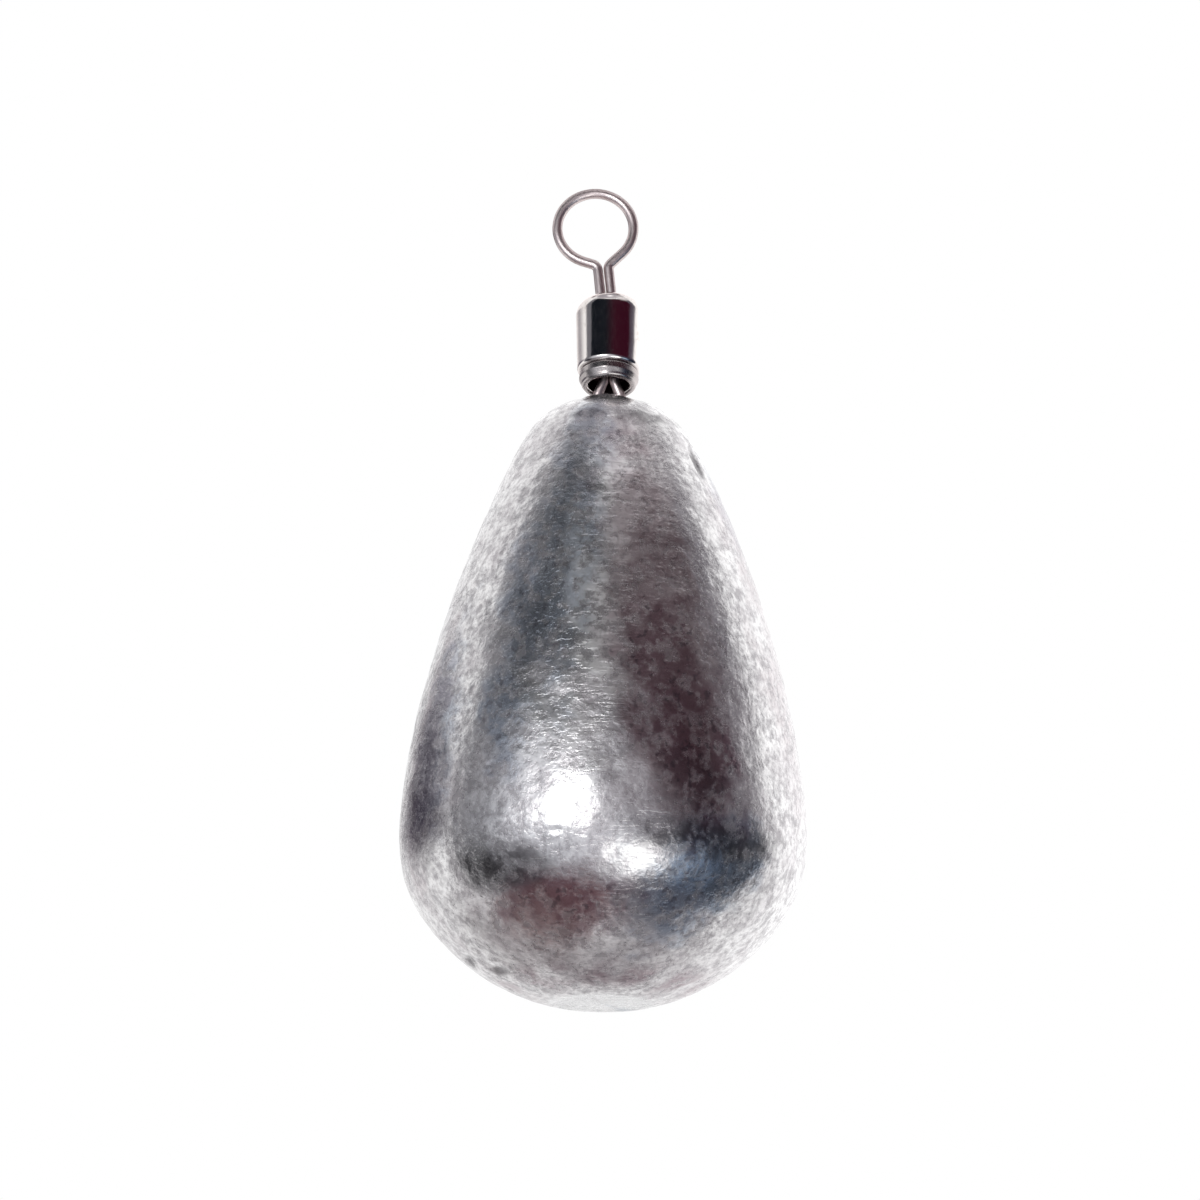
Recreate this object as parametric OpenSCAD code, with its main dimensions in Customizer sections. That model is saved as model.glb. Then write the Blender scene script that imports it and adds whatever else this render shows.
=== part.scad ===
// Bank sinker: a pear of cast lead with a wire-eyed barrel swivel cast into its top.
// Millimetres. The lead stands on its trimmed flat, centred on Z, and the swivel leans
// back (towards +Y) until its rolled lip all but rests on the lead.

/* [Lead body] */
// Widest diameter of the casting
lead_d = 22.8; // [18:0.1:28]
// Height of the casting, from its flat to the land round the wire
lead_h = 34.6; // [28:0.1:44]
// Height of the widest place above the flat
belly_h = 9; // [8:0.1:12]
// Diameter of the flat left where the pouring gate was trimmed off
gate_flat_d = 6; // [4:0.1:8]
// Radius of the round bottom
bottom_r = 12.5; // [10:0.1:16]
// Radius of the outline just below the widest place
lower_belly_r = 7.4; // [5:0.1:8.2]
// Radius of the outline just above the widest place
upper_belly_r = 22.7; // [15:0.1:30]
// Radius of the long flank
flank_r = 59.4; // [45:0.1:90]
// Radius of the shoulder
shoulder_r = 4.6; // [3:0.1:6.5]
// Diameter of the level land on top of the shoulder
land_d = 1.4; // [1:0.1:3]
// Diameter of the low dome of lead that rose round the wire
boss_d = 3.2; // [2.6:0.1:4]
// Height of that dome
boss_h = 0.3; // [0.2:0.05:0.5]

/* [Swivel barrel] */
// Outer diameter of the drawn barrel, below its crown
barrel_d = 3.86; // [3.7:0.02:4.4]
// Outer diameter at its foot, above the lower lip
foot_d = 3.64; // [3.5:0.02:3.7]
// Length of the barrel
barrel_l = 5.45; // [5.1:0.05:7]
// Wall of the barrel at its foot
barrel_wall = 0.3; // [0.25:0.01:0.33]
// Radius of the crown, the round upper end
crown_r = 1; // [0.85:0.05:1.1]
// Diameter of the mouth at either end
mouth_d = 2.3; // [2.1:0.05:2.4]
// Radius of the round edge of a mouth
lip_edge_r = 0.2; // [0.14:0.01:0.22]
// Diameter of the rolled lower lip
lip_d = 3.38; // [3.26:0.02:3.46]
// Height of the lower lip, from the mouth to the crease
lip_h = 0.95; // [0.85:0.05:1]
// Diameter at the crease between lip and foot
crease_d = 3.14; // [3.06:0.02:3.22]
// Length of the straight throat inside the lower mouth
throat_l = 0.85; // [0.8:0.01:0.9]
// Length of the straight throat inside the upper mouth
crown_throat_l = 0.42; // [0.35:0.01:0.5]
// Height of the seat cone that stops the head of an eye, from throat to wall
seat_h = 0.5; // [0.4:0.01:0.54]

/* [Wire of both eyes] */
// Diameter of the wire
wire_d = 0.58; // [0.5:0.01:0.62]
// Gap between the two legs of an eye
leg_gap = 0.03; // [0.02:0.01:0.1]
// Width over the two turned-out ends that form a head
head_w = 2.8; // [2.6:0.05:2.85]
// Centreline radius of the bend from a leg to its head
head_bend_r = 0.4; // [0.3:0.01:0.5]
// Centreline radius of the bend from a leg to the loop
crotch_bend_r = 0.42; // [0.36:0.01:0.6]
// How much thinner the wire is drawn in a bend than in a straight
bend_thinning = 0.008; // [0.004:0.001:0.02]

/* [Line eye] */
// Centreline radius of the loop that the line ties to
eye_r = 2.18; // [1.8:0.02:2.6]
// Length of the legs, from the head to the crotch of the loop
eye_leg_l = 3.55; // [3.2:0.05:4.5]
// Lean of the left flank of the loop from the legs, in degrees
eye_left_turn = 66; // [50:1:70]
// Lean of the right flank of the loop from the legs, in degrees
eye_right_turn = 51; // [38:1:60]
// Depth of the head's centre inside the upper mouth
eye_head_depth = 1.5; // [1.4:0.05:1.8]

/* [Eye cast into the lead] */
// Centreline radius of the loop that anchors the swivel
anchor_r = 2; // [1.6:0.05:2.4]
// Length of the legs, from the head to the crotch of the loop
anchor_leg_l = 1; // [0.9:0.05:1.2]
// Lean of each flank of the anchor loop from the legs, in degrees
anchor_turn = 22; // [18:1:30]
// Depth of the head's centre inside the lower mouth
anchor_head_depth = 1.6; // [1.55:0.05:1.8]

/* [Rest pose] */
// Lean of the barrel from the axis of the lead, in degrees
barrel_lean = 14; // [10:0.5:18]
// How far the line eye hangs forward of the barrel's own axis, in degrees
eye_forward_lean = 6; // [0:0.5:10]
// How far the line eye leans to the left of the barrel's axis, in degrees
eye_side_lean = 6.5; // [0:0.5:8]
// Gap left between the resting lip and the lead
rest_gap = 0.08; // [0.05:0.01:0.2]

/* [Hidden] */
$fn = 64;

lead_r = lead_d / 2;
land_r = land_d / 2;
boss_r = boss_d / 2;
barrel_r = barrel_d / 2;
mouth_r = mouth_d / 2;
crease_r = crease_d / 2;
foot_r = foot_d / 2;
cavity_r = foot_r - barrel_wall;
leg_x = (wire_d + leg_gap) / 2;
head_arm_l = head_w / 2 - leg_x - head_bend_r;

// Length by which a bend runs on into the straights at its ends
bend_overrun = 0.02;

// Distance between the heads of the two eyes, along the barrel
head_span = barrel_l - anchor_head_depth - eye_head_depth;

// The barrel tilts about the centre of the anchor's head. Its height puts the
// lowest point of the leaning lip one rest_gap above the dome of lead.
tilt_z = lead_h + boss_h + rest_gap + lip_edge_r
    + (anchor_head_depth - lip_edge_r) * cos(barrel_lean)
    + (mouth_r + lip_edge_r) * sin(barrel_lean);

// The point at distance ra from a and rb from b, on the left of the way from a to b
function meet(a, ra, b, rb) =
    let (way = b - a, far = norm(way), u = way / far)
    let (along = (ra * ra - rb * rb + far * far) / (2 * far))
    let (across = sqrt(ra * ra - along * along))
    a + u * along + [-u[1], u[0]] * across;

// The point where a circle about c meets the ray from c through p
function on_ray(c, r, p) = c + (p - c) / norm(p - c) * r;

// Centres of the five arcs of the pear's outline, each tangent to the next
lower_belly = [lead_r - lower_belly_r, belly_h];
upper_belly = [lead_r - upper_belly_r, belly_h];
shoulder = [land_r, lead_h - shoulder_r];
gate_edge = [gate_flat_d / 2, 0];
bottom = meet(gate_edge, bottom_r, lower_belly, bottom_r - lower_belly_r);
flank = meet(upper_belly, flank_r - upper_belly_r, shoulder, flank_r - shoulder_r);

// The ends of those arcs, from the flat up to the land
bottom_end = on_ray(bottom, bottom_r, lower_belly);
belly_end = [lead_r, belly_h];
flank_start = on_ray(flank, flank_r, upper_belly);
flank_end = on_ray(flank, flank_r, shoulder);
land_edge = [land_r, lead_h];

// The dome of lead round the wire is the cap of a ball that is boss_d wide at the land
dome_r = (boss_r * boss_r + boss_h * boss_h) / (2 * boss_h);
dome = [0, lead_h + boss_h - dome_r];

// The part of a disc outside its chord from p to q, with the chord's outer side on the right
module bulge(c, r, p, q) {
    way = (q - p) / norm(q - p);
    out = [way[1], -way[0]] * r;
    intersection() {
        translate(c) circle(r);
        polygon([p, q, q + out, p + out]);
    }
}

// Half of the pear's outline. The square cuts off the round bottom below the flat, and the
// half of the dome's circle that lies across the axis. The core closes the middle of the flat
// where a wide lead has the centre of its round bottom off the axis.
module pear_outline() {
    bottom_pole = [0, bottom[1] - sqrt(bottom_r * bottom_r - bottom[0] * bottom[0])];
    core_r = max(bottom[0], gate_flat_d / 4);
    intersection() {
        union() {
            polygon([
                bottom_pole, bottom_end, belly_end, flank_start, flank_end, land_edge, [0, lead_h]
            ]);
            bulge(bottom, bottom_r, bottom_pole, bottom_end);
            bulge(lower_belly, lower_belly_r, bottom_end, belly_end);
            bulge(upper_belly, upper_belly_r, belly_end, flank_start);
            bulge(flank, flank_r, flank_start, flank_end);
            bulge(shoulder, shoulder_r, flank_end, land_edge);
            translate(dome) circle(dome_r);
            translate([0, -bottom_r]) square([core_r, bottom_r + belly_h]);
        }
        square([lead_d, 2 * lead_h]);
    }
}

// One half of a cut through the barrel's wall. Going up it is a rolled lip, a crease, the
// round foot, a wall that widens a little, and a crown that closes in to the bevelled
// upper mouth.
module barrel_section() {
    lip_r = lip_d / 2;
    edge_x = mouth_r + lip_edge_r;
    foot = [crease_r, lip_h + foot_r - crease_r];
    crown_x = barrel_r - crown_r;
    crown_z = barrel_l - sqrt(crown_r * crown_r - (edge_x - crown_x) * (edge_x - crown_x));
    crown_top = [crown_x, crown_z + crown_r];
    translate([edge_x, lip_edge_r]) circle(lip_edge_r);
    difference() {
        union() {
            polygon([
                [mouth_r, lip_edge_r],
                [edge_x + lip_edge_r, lip_edge_r],
                [lip_r, lip_h / 2],
                [lip_r, lip_h - lip_r + crease_r],
                [crease_r, lip_h],
                foot,
                [foot_r, foot[1]],
                [barrel_r, crown_z],
                crown_top,
                [crown_x, barrel_l / 2],
                [mouth_r, barrel_l / 2]
            ]);
            translate(foot) circle(foot_r - crease_r);
            bulge([crown_x, crown_z], crown_r, [barrel_r, crown_z], crown_top);
        }
        polygon([
            [0, throat_l],
            [mouth_r, throat_l],
            [cavity_r, throat_l + seat_h],
            [cavity_r, barrel_l - crown_throat_l - seat_h],
            [mouth_r, barrel_l - crown_throat_l],
            [mouth_r, barrel_l - lip_edge_r],
            [edge_x + lip_edge_r, barrel_l + lip_edge_r],
            [0, barrel_l + lip_edge_r]
        ]);
    }
}

// A bend of the wire about the origin in the XZ plane, from one angle to another, both from +X
// towards +Z. It is a trace thinner than the straights and runs a little way into each.
module bend(r, from, to) {
    spare = bend_overrun / r * 180 / PI;
    rotate([90, 0, 0]) rotate([0, 0, from - spare])
        rotate_extrude(angle = to - from + 2 * spare)
            translate([r, 0]) circle(d = wire_d - bend_thinning);
}

// Wire bent in the XZ plane from a list of [straight length, bend radius, turn]. It sets off
// along +Z from the origin, a positive turn bends it towards +X, and the last turn is left out.
module bent_wire(steps, i = 0) {
    straight = steps[i][0];
    r = steps[i][1];
    turn = steps[i][2];
    side = sign(turn);
    cylinder(d = wire_d, h = straight);
    if (i + 1 < len(steps))
        translate([side * r, 0, straight]) {
            bend(r, side > 0 ? 180 - turn : 0, side > 0 ? 180 : -turn);
            rotate([0, turn, 0]) translate([-side * r, 0, 0]) bent_wire(steps, i + 1);
        }
}

// An eye bent from one piece of wire, with its head at the origin and its legs along +Z.
// Each half runs from the loop down a flank and a leg to a turned-out end, and the two
// flanks get the lengths that bring both legs down side by side.
module wire_eye(leg_l, loop_r, left, right) {
    across = loop_r * (cos(left) + cos(right))
        - crotch_bend_r * (2 - cos(left) - cos(right)) - 2 * leg_x;
    rise = (loop_r + crotch_bend_r) * (sin(right) - sin(left));
    left_flank = (across * cos(right) + rise * sin(right)) / sin(left + right);
    right_flank = (across * cos(left) - rise * sin(left)) / sin(left + right);
    loop_x = loop_r * cos(left) - left_flank * sin(left)
        - crotch_bend_r * (1 - cos(left)) - leg_x;
    loop_z = leg_l + (crotch_bend_r + loop_r) * sin(left) + left_flank * cos(left);
    translate([loop_x, 0, loop_z]) {
        bend(loop_r, -right, 180 + left);
        for (side = [-1, 1]) {
            turn = side < 0 ? left : right;
            flank_l = side < 0 ? left_flank : right_flank;
            rotate([0, side * (180 + turn), 0]) translate([-side * loop_r, 0, 0])
                bent_wire([
                    [flank_l, crotch_bend_r, -side * turn],
                    [leg_l - head_bend_r, head_bend_r, -side * 90],
                    [head_arm_l, 0, 0]
                ]);
        }
    }
}

// Frame of the barrel: the origin is the centre of the anchor's head
module in_barrel() {
    translate([0, 0, tilt_z]) rotate([-barrel_lean, 0, 0]) children();
}

module anchor_wire() {
    translate([0, 0, tilt_z]) rotate([180, 0, 0])
        wire_eye(anchor_leg_l, anchor_r, anchor_turn, anchor_turn);
}

module lead_body() {
    color("slategray") difference() {
        rotate_extrude() pear_outline();
        anchor_wire();
    }
}

module anchor_eye() {
    color("silver") anchor_wire();
}

module swivel_barrel() {
    color("gainsboro") in_barrel() translate([0, 0, -anchor_head_depth])
        rotate_extrude() barrel_section();
}

module line_eye() {
    color("silver") in_barrel() translate([0, 0, head_span])
        rotate([eye_forward_lean, 0, 0]) rotate([0, -eye_side_lean, 0])
            wire_eye(eye_leg_l, eye_r, eye_left_turn, eye_right_turn);
}

lead_body();
anchor_eye();
swivel_barrel();
line_eye();
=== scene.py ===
import math

import bmesh
import bpy
import numpy as np
from mathutils import Matrix, Vector


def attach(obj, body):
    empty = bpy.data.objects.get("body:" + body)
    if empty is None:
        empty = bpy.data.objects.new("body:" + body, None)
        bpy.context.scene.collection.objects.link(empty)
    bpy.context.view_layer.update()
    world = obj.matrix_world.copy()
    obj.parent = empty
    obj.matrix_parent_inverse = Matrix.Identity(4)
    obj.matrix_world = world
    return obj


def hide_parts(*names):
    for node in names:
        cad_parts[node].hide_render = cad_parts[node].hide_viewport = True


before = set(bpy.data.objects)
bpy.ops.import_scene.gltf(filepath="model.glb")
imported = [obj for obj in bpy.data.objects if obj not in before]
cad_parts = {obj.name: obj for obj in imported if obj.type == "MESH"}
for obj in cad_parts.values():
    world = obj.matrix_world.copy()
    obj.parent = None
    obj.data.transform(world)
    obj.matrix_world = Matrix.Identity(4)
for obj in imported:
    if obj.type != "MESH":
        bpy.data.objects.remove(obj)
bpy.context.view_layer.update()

MM = 0.001

# Lead body, as in the part's source
LEAD_R, LEAD_H, BELLY_H, GATE_R = 11.4, 34.6, 9.0, 3.0
BOTTOM_R, LOWER_BELLY_R, UPPER_BELLY_R, FLANK_R, SHOULDER_R = 12.5, 7.4, 22.7, 59.4, 4.6
LAND_R, BOSS_R, BOSS_H = 0.7, 1.6, 0.3

# Swivel, as in the part's source
BARREL_R, FOOT_R, BARREL_L, BARREL_WALL, CROWN_R, MOUTH_R = 1.93, 1.82, 5.45, 0.3, 1.0, 1.15
LIP_EDGE_R, LIP_R, LIP_H, CREASE_R = 0.2, 1.69, 0.95, 1.57
THROAT_L, CROWN_THROAT_L, SEAT_H = 0.85, 0.42, 0.5
WIRE_R, LEG_X, HEAD_W, HEAD_BEND_R, CROTCH_BEND_R = 0.29, 0.305, 2.8, 0.4, 0.42
EYE = {"loop_r": 2.18, "leg_l": 3.55, "left": 66, "right": 51}
ANCHOR = {"loop_r": 2.0, "leg_l": 1.0, "left": 22, "right": 22}
ANCHOR_DEPTH, EYE_DEPTH, REST_GAP = 1.6, 1.5, 0.08
BARREL_LEAN, EYE_FORWARD, EYE_SIDE = 14.0, 6.0, 6.5

# How far apart points lie on plain outlines and while they are evened out, and on each
# piece's own outline, with the number of points round it
STEP, FINE_STEP = 0.02, 0.01
LEAD_STEP, LEAD_RING = 0.13, 360
WIRE_STEP, WIRE_RING = 0.045, 28
BARREL_STEP, BARREL_RING = 0.035, 160
WAVE_COUNT = 28

# Unevenness of the cast surface: height, wavelength, seed
LEAD_WAVES = [(0.045, 8, 3), (0.022, 2.6, 4), (0.008, 1.0, 5)]
DOME_Z, DOME_ROUGHNESS = 34.2, 0.02
SEAM_AZ, SEAM_H, SEAM_W = -46, 0.02, 0.12

# The ring of lead round each leg of the anchor, and the scoring of the trimmed flat
COLLAR_H, COLLAR_W, COLLAR_REACH = 0.07, 0.12, 0.9
SCORE_DEPTH, SCORE_LENGTH, SCORE_AZ, SCORE_STRETCH = 0.012, 0.5, 32, 0.12

# Dents in the lead: azimuth, height, half width, half height, depth, rim
DENTS = [
    (-13.2, 7.67, 0.26, 0.2, 0.07, 0.035),
    (61.6, 30.4, 0.35, 0.9, 0.16, 0.02),
    (-82, 2.1, 0.9, 0.3, 0.16, 0.02),
    (-64, 1.35, 0.7, 0.25, 0.1, 0.02),
    (24, 7.5, 0.13, 0.13, 0.05, 0.02),
    (-34, 11.6, 0.22, 0.16, 0.06, 0.02),
    (12, 22.5, 0.13, 0.13, 0.05, 0.015),
    (150, 14, 0.5, 0.35, 0.09, 0.02),
    (-140, 22, 0.3, 0.6, 0.08, 0.02),
    (118, 6, 0.35, 0.25, 0.07, 0.03),
]

# Stains and painted light on the lead: channel, azimuth, height, half width in degrees, half height,
# slope, strength. The blue and maroon patches are partly tarnish and partly painted reflections of a
# dim room; the bright ones are painted highlights and painted reflections of bright light; the dark
# ones are painted shade in the dents and round the top under the swivel, and painted dark reflections.
# A patch's place in the list is also its seed, so new ones go at the end.
TARNISH_AND_PAINTED_LIGHT = [
    ("blue", -12, 31.3, 13, 3.0, -0.6, 0.35),
    ("blue", -17, 25.6, 11, 4.5, -1.2, 0.45),
    ("blue", -25, 20.2, 10, 4.2, -1.2, 0.5),
    ("blue", -31, 14.5, 6, 3.0, -0.8, 0.5),
    ("blue", 26, 6.2, 7, 0.9, 0.0, 0.4),
    ("blue", 30, 5.0, 16, 2.0, 2.0, 0.6),
    ("blue", 36, 8.0, 12, 1.0, 0.0, 0.6),
    ("maroon", 13, 26.5, 13, 5.0, -0.8, 0.38),
    ("maroon", 20, 17.5, 13, 4.6, -1.0, 0.75),
    ("maroon", 26, 12.2, 13, 3.6, -1.0, 0.8),
    ("maroon", -12, 4.1, 17, 1.3, 0.0, 0.75),
    ("maroon", -66, 13.0, 9, 7.0, 0.5, 0.3),
    ("bright", -11, 9.5, 9, 1.6, 0.0, 0.6),
    ("bright", 9.2, 6.3, 8, 0.9, 0.0, 0.6),
    ("bright", -13, 12.9, 11, 2.8, -1.0, 0.4),
    ("bright", -5, 20.5, 8, 4.5, -1.2, 0.6),
    ("bright", 3, 27.5, 10, 3.0, -0.8, 0.55),
    ("dark", -18, 32.8, 14, 0.3, 0.0, 0.7),
    ("dark", 26, 32.8, 28, 0.4, 0.012, 0.65),
    ("dark", 10, 34.2, 60, 0.22, 0.0, 0.4),
    ("dark", 62, 30.4, 4, 0.8, 0.0, 0.7),
    ("dark", -82, 2.1, 9, 0.22, 0.0, 0.9),
    ("dark", -64, 1.35, 7, 0.2, 0.0, 0.7),
    ("dark", 32, 7.6, 18, 0.9, -0.5, 0.75),
    ("dark", 24, 10.5, 9, 2.0, -1.0, 0.45),
    ("dark", -34, 5.9, 13, 0.9, 0.0, 0.75),
    ("dark", -22, 17.5, 5, 2.8, -1.2, 0.25),
    ("dark", -62, 11.5, 8, 5.0, 0.0, 0.45),
    ("blue", -58, 14.5, 8, 5.0, 0.0, 0.4),
    ("dark", -13, 29.5, 8, 2.2, -1.0, 0.3),
]
FRONT_SEED, PATCH_WOBBLE = 100, 0.35

# Faint patches scattered over the back: how many, and from and to in each measure
BACK_PATCHES, BACK_SEED, BACK_STRENGTH = 22, 200, (0.15, 0.45)
BACK_AZ, BACK_Z, BACK_AZ_HALF, BACK_Z_HALF, BACK_SLOPE = (75, 285), (2, 32), (8, 22), (1.5, 5), (-2, 2)

# Unevenness of the drawn wire, and its rounded tip: share of the radius, how far out
WIRE_SWELL, WIRE_WAVE = 0.004, 0.003
WIRE_TIP = [(0.86, 0.03), (0.5, 0.05), (0.0, 0.055)]

# Colours of the lead: dull and pale grain, a faint haze, pale metal that is partly rubbed metal and
# partly a painted highlight, the blue and maroon stains, which are partly painted reflections, specks,
# and black for painted shade and dark painted reflections
LEAD_DULL, LEAD_PALE, LEAD_HAZE = (0.46, 0.445, 0.46), (0.87, 0.86, 0.865), (0.6, 0.55, 0.58)
LEAD_RUBBED_AND_HIGHLIGHT, LEAD_BLUE, LEAD_MAROON = (0.88, 0.88, 0.89), (0.18, 0.27, 0.4), (0.17, 0.065, 0.1)
LEAD_SPECK, LEAD_BLACK = (0.12, 0.1, 0.12), (0.07, 0.06, 0.07)

# Its noises: scale to the millimetre, detail, roughness and distortion
GRAIN, FINE_GRAIN, BROAD_HAZE = (1.3, 4.0, 0.6, 0.15), (3.4, 2.0, 0.55), (0.3, 3.0, 0.6)
SPECKS, SCRATCHES = (2.7, 1.0, 0.4, 0.5), (2.2, 3.0, 0.6)
SCRATCH_TURN, SCRATCH_STRETCH = (20, 40, 0), (0.35, 4.0, 4.0)

# Bright plating: its colour, that of its clouds and of its reflections at a glancing angle, and how
# strongly painted shade darkens it inside, in the crease and on the lip
BARREL_PLATE = {
    "colour": (0.86, 0.82, 0.8), "cloud_colour": (0.58, 0.5, 0.48), "edge_tint": (0.9, 0.86, 0.86),
    "clouds": 0.5, "roughness": 0.1, "streak_scale": (4, 4, 0.3), "painted_shade": 0.97,
}
WIRE_PLATE = {
    "colour": (0.88, 0.78, 0.77), "cloud_colour": (0.56, 0.46, 0.45), "edge_tint": (0.03, 0.0, 0.0),
    "clouds": 0.6, "roughness": 0.36, "streak_scale": (3, 3, 3), "painted_shade": 0.0,
}
# Colour of the painted shade inside the barrel, in the crease above its lip and on the lip
PAINTED_SHADE_COLOUR = (0.045, 0.02, 0.03)
CLOUD, GRIT, STREAK = (1.1, 4.0, 0.6), (9.0, 3.0, 0.6), (3.0, 3.0, 0.6)

# What the metal mirrors: a dim room on the camera's side, with two windows and grey and
# coloured parts, in front of the white that is all round. Each card: name, from and to in
# azimuth and in elevation, colour at its left and right, width of its soft edges as a share
# of it across and upwards, distance, and whether it is a soft ellipse
ROOM = [
    ("room", (-98, 107), (-84, 66), (0.17, 0.17, 0.19), (0.1, 0.085, 0.11),
     (0.035, 0.06), 560, False),
    ("under", (-210, 210), (-90, -45), (0.34, 0.32, 0.33), (0.46, 0.44, 0.45),
     (0.01, 0.35), 565, False),
    ("room_top", (-210, 210), (60, 90), (0.36, 0.34, 0.37), (0.4, 0.38, 0.4),
     (0.01, 0.35), 550, False),
    ("bright_right", (86, 206), (-48, 68), (1.45, 1.45, 1.45), (1.4, 1.4, 1.4),
     (0.45, 0.45), 548, True),
    ("low_left", (-168, -92), (-66, -20), (0.42, 0.4, 0.4), (0.36, 0.34, 0.35),
     (0.42, 0.42), 546, True),
    ("bright_left", (-222, -126), (10, 66), (1.3, 1.3, 1.3), (1.3, 1.3, 1.3),
     (0.45, 0.45), 547, True),
    ("room_low", (-140, 30), (-88, -42), (0.2, 0.12, 0.12), (0.25, 0.15, 0.16),
     (0.3, 0.3), 545, False),
    ("room_low_right", (0, 116), (-88, -44), (0.1, 0.1, 0.13), (0.07, 0.07, 0.09),
     (0.3, 0.3), 543, False),
    ("room_navy", (30, 106), (-58, 14), (0.03, 0.035, 0.06), (0.015, 0.02, 0.035),
     (0.12, 0.3), 540, False),
    ("room_left", (-100, -52), (-50, 0), (0.01, 0.01, 0.015), (0.01, 0.01, 0.015),
     (0.35, 0.35), 535, True),
    ("room_wine", (2, 96), (-2, 50), (0.09, 0.04, 0.06), (0.035, 0.004, 0.015),
     (0.35, 0.35), 525, True),
    ("grey_middle", (-84, 34), (-50, 58), (0.8, 0.82, 0.88), (0.72, 0.72, 0.76),
     (0.42, 0.42), 500, True),
    ("grey_low", (-56, 64), (-62, 8), (0.74, 0.75, 0.8), (0.72, 0.74, 0.8),
     (0.48, 0.48), 495, True),
    ("sky_spot", (36, 76), (-48, -10), (0.45, 0.56, 0.7), (0.32, 0.44, 0.6),
     (0.45, 0.45), 490, True),
    ("dark_far_left", (-166, -82), (-8, 29), (0.05, 0.035, 0.07), (0.06, 0.045, 0.08),
     (0.38, 0.38), 520, True),
    ("flag_high", (-76, 82), (24, 66), (0.005, 0.007, 0.011), (0.035, 0.004, 0.012),
     (0.035, 0.16), 480, False),
    ("right_high", (34, 130), (46, 84), (0.75, 0.72, 0.73), (0.85, 0.82, 0.83),
     (0.4, 0.4), 475, True),
    ("window_high", (-47, 0), (-8, 23), (3.0, 3.0, 3.0), (3.0, 3.0, 3.0),
     (0.3, 0.3), 465, True),
    ("window_low", (-1, 46), (-48, -14), (2.6, 2.6, 2.55), (2.6, 2.6, 2.55),
     (0.3, 0.3), 460, True),
]
CARD_COLUMNS, CARD_ROWS, CARD_CENTRE = 24, 12, (0, 0, 18)

# Lamps: name, azimuth, elevation, distance, diameter, radiance
LAMPS = [("key", -22, 7, 300, 90, 4.0), ("top", 20, 70, 600, 420, 1.2)]
LAMP_TARGET = (0, 0, 15.0)
FLOOR_HALF, FLOOR_Z = 1500, -0.03
WORLD_LIGHT, WORLD_SHOWN = 0.65, 1.0

# The photograph's frame: pixels of a 1200 pixel square, and its scale at the lead
PX, FRAME_PX, CAMERA_FAR, SENSOR_W = 0.056, 1200, 380, 36
BASE_PX = (601, 1000.9)
VIEW_DIP, VIEW_ROLL, PLANE_BACK = 12.85, 0.74, 2.4


def turn_x(degrees):
    c, s = math.cos(math.radians(degrees)), math.sin(math.radians(degrees))
    return np.array([[1, 0, 0], [0, c, -s], [0, s, c]])


def turn_y(degrees):
    c, s = math.cos(math.radians(degrees)), math.sin(math.radians(degrees))
    return np.array([[c, 0, s], [0, 1, 0], [-s, 0, c]])


def turn_z(degrees):
    c, s = math.cos(math.radians(degrees)), math.sin(math.radians(degrees))
    return np.array([[c, -s, 0], [s, c, 0], [0, 0, 1]])


# The barrel tilts about the head of the anchor, this far up the axis of the lead
LEAN = math.radians(BARREL_LEAN)
TILT_Z = (LEAD_H + BOSS_H + REST_GAP + LIP_EDGE_R
          + (ANCHOR_DEPTH - LIP_EDGE_R) * math.cos(LEAN)
          + (MOUTH_R + LIP_EDGE_R) * math.sin(LEAN))
PIVOT = np.array([0, 0, TILT_Z])
IN_BARREL = turn_x(-BARREL_LEAN)


def smooth(value):
    value = np.clip(value, 0, 1)
    return value * value * (3 - 2 * value)


def waves(points, length, seed):
    """Smooth noise of about that wavelength, from -1 to 1, at points in millimetres."""
    rng = np.random.default_rng(seed)
    total = np.zeros(len(points))
    for _ in range(WAVE_COUNT):
        way = rng.normal(size=3)
        way *= 2 * math.pi / (length * rng.uniform(0.7, 1.4) * np.linalg.norm(way))
        total += np.sin(points @ way + rng.uniform(0, 2 * math.pi))
    return total / math.sqrt(WAVE_COUNT / 2) / 2


def meet(a, ra, b, rb):
    """The point at distance ra from a and rb from b, on the left of the way from a to b."""
    way = b - a
    far = np.linalg.norm(way)
    u = way / far
    along = (ra * ra - rb * rb + far * far) / (2 * far)
    return a + u * along + np.array([-u[1], u[0]]) * math.sqrt(ra * ra - along * along)


def on_ray(c, r, p):
    """The point of the circle about c in the direction of p."""
    return c + (p - c) / np.linalg.norm(p - c) * r


def arc(c, r, p, q):
    """Points on the circle about c from near p to near q, the shorter way round."""
    start = math.atan2(p[1] - c[1], p[0] - c[0])
    sweep = (math.atan2(q[1] - c[1], q[0] - c[0]) - start + math.pi) % (2 * math.pi) - math.pi
    t = np.linspace(0, 1, max(3, int(abs(sweep) * r / STEP)))
    return np.c_[c[0] + r * np.cos(start + sweep * t), c[1] + r * np.sin(start + sweep * t)]


def line(p, q):
    t = np.linspace(0, 1, max(2, int(np.linalg.norm(np.subtract(q, p)) / STEP)))[:, None]
    return np.asarray(p) * (1 - t) + np.asarray(q) * t


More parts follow.
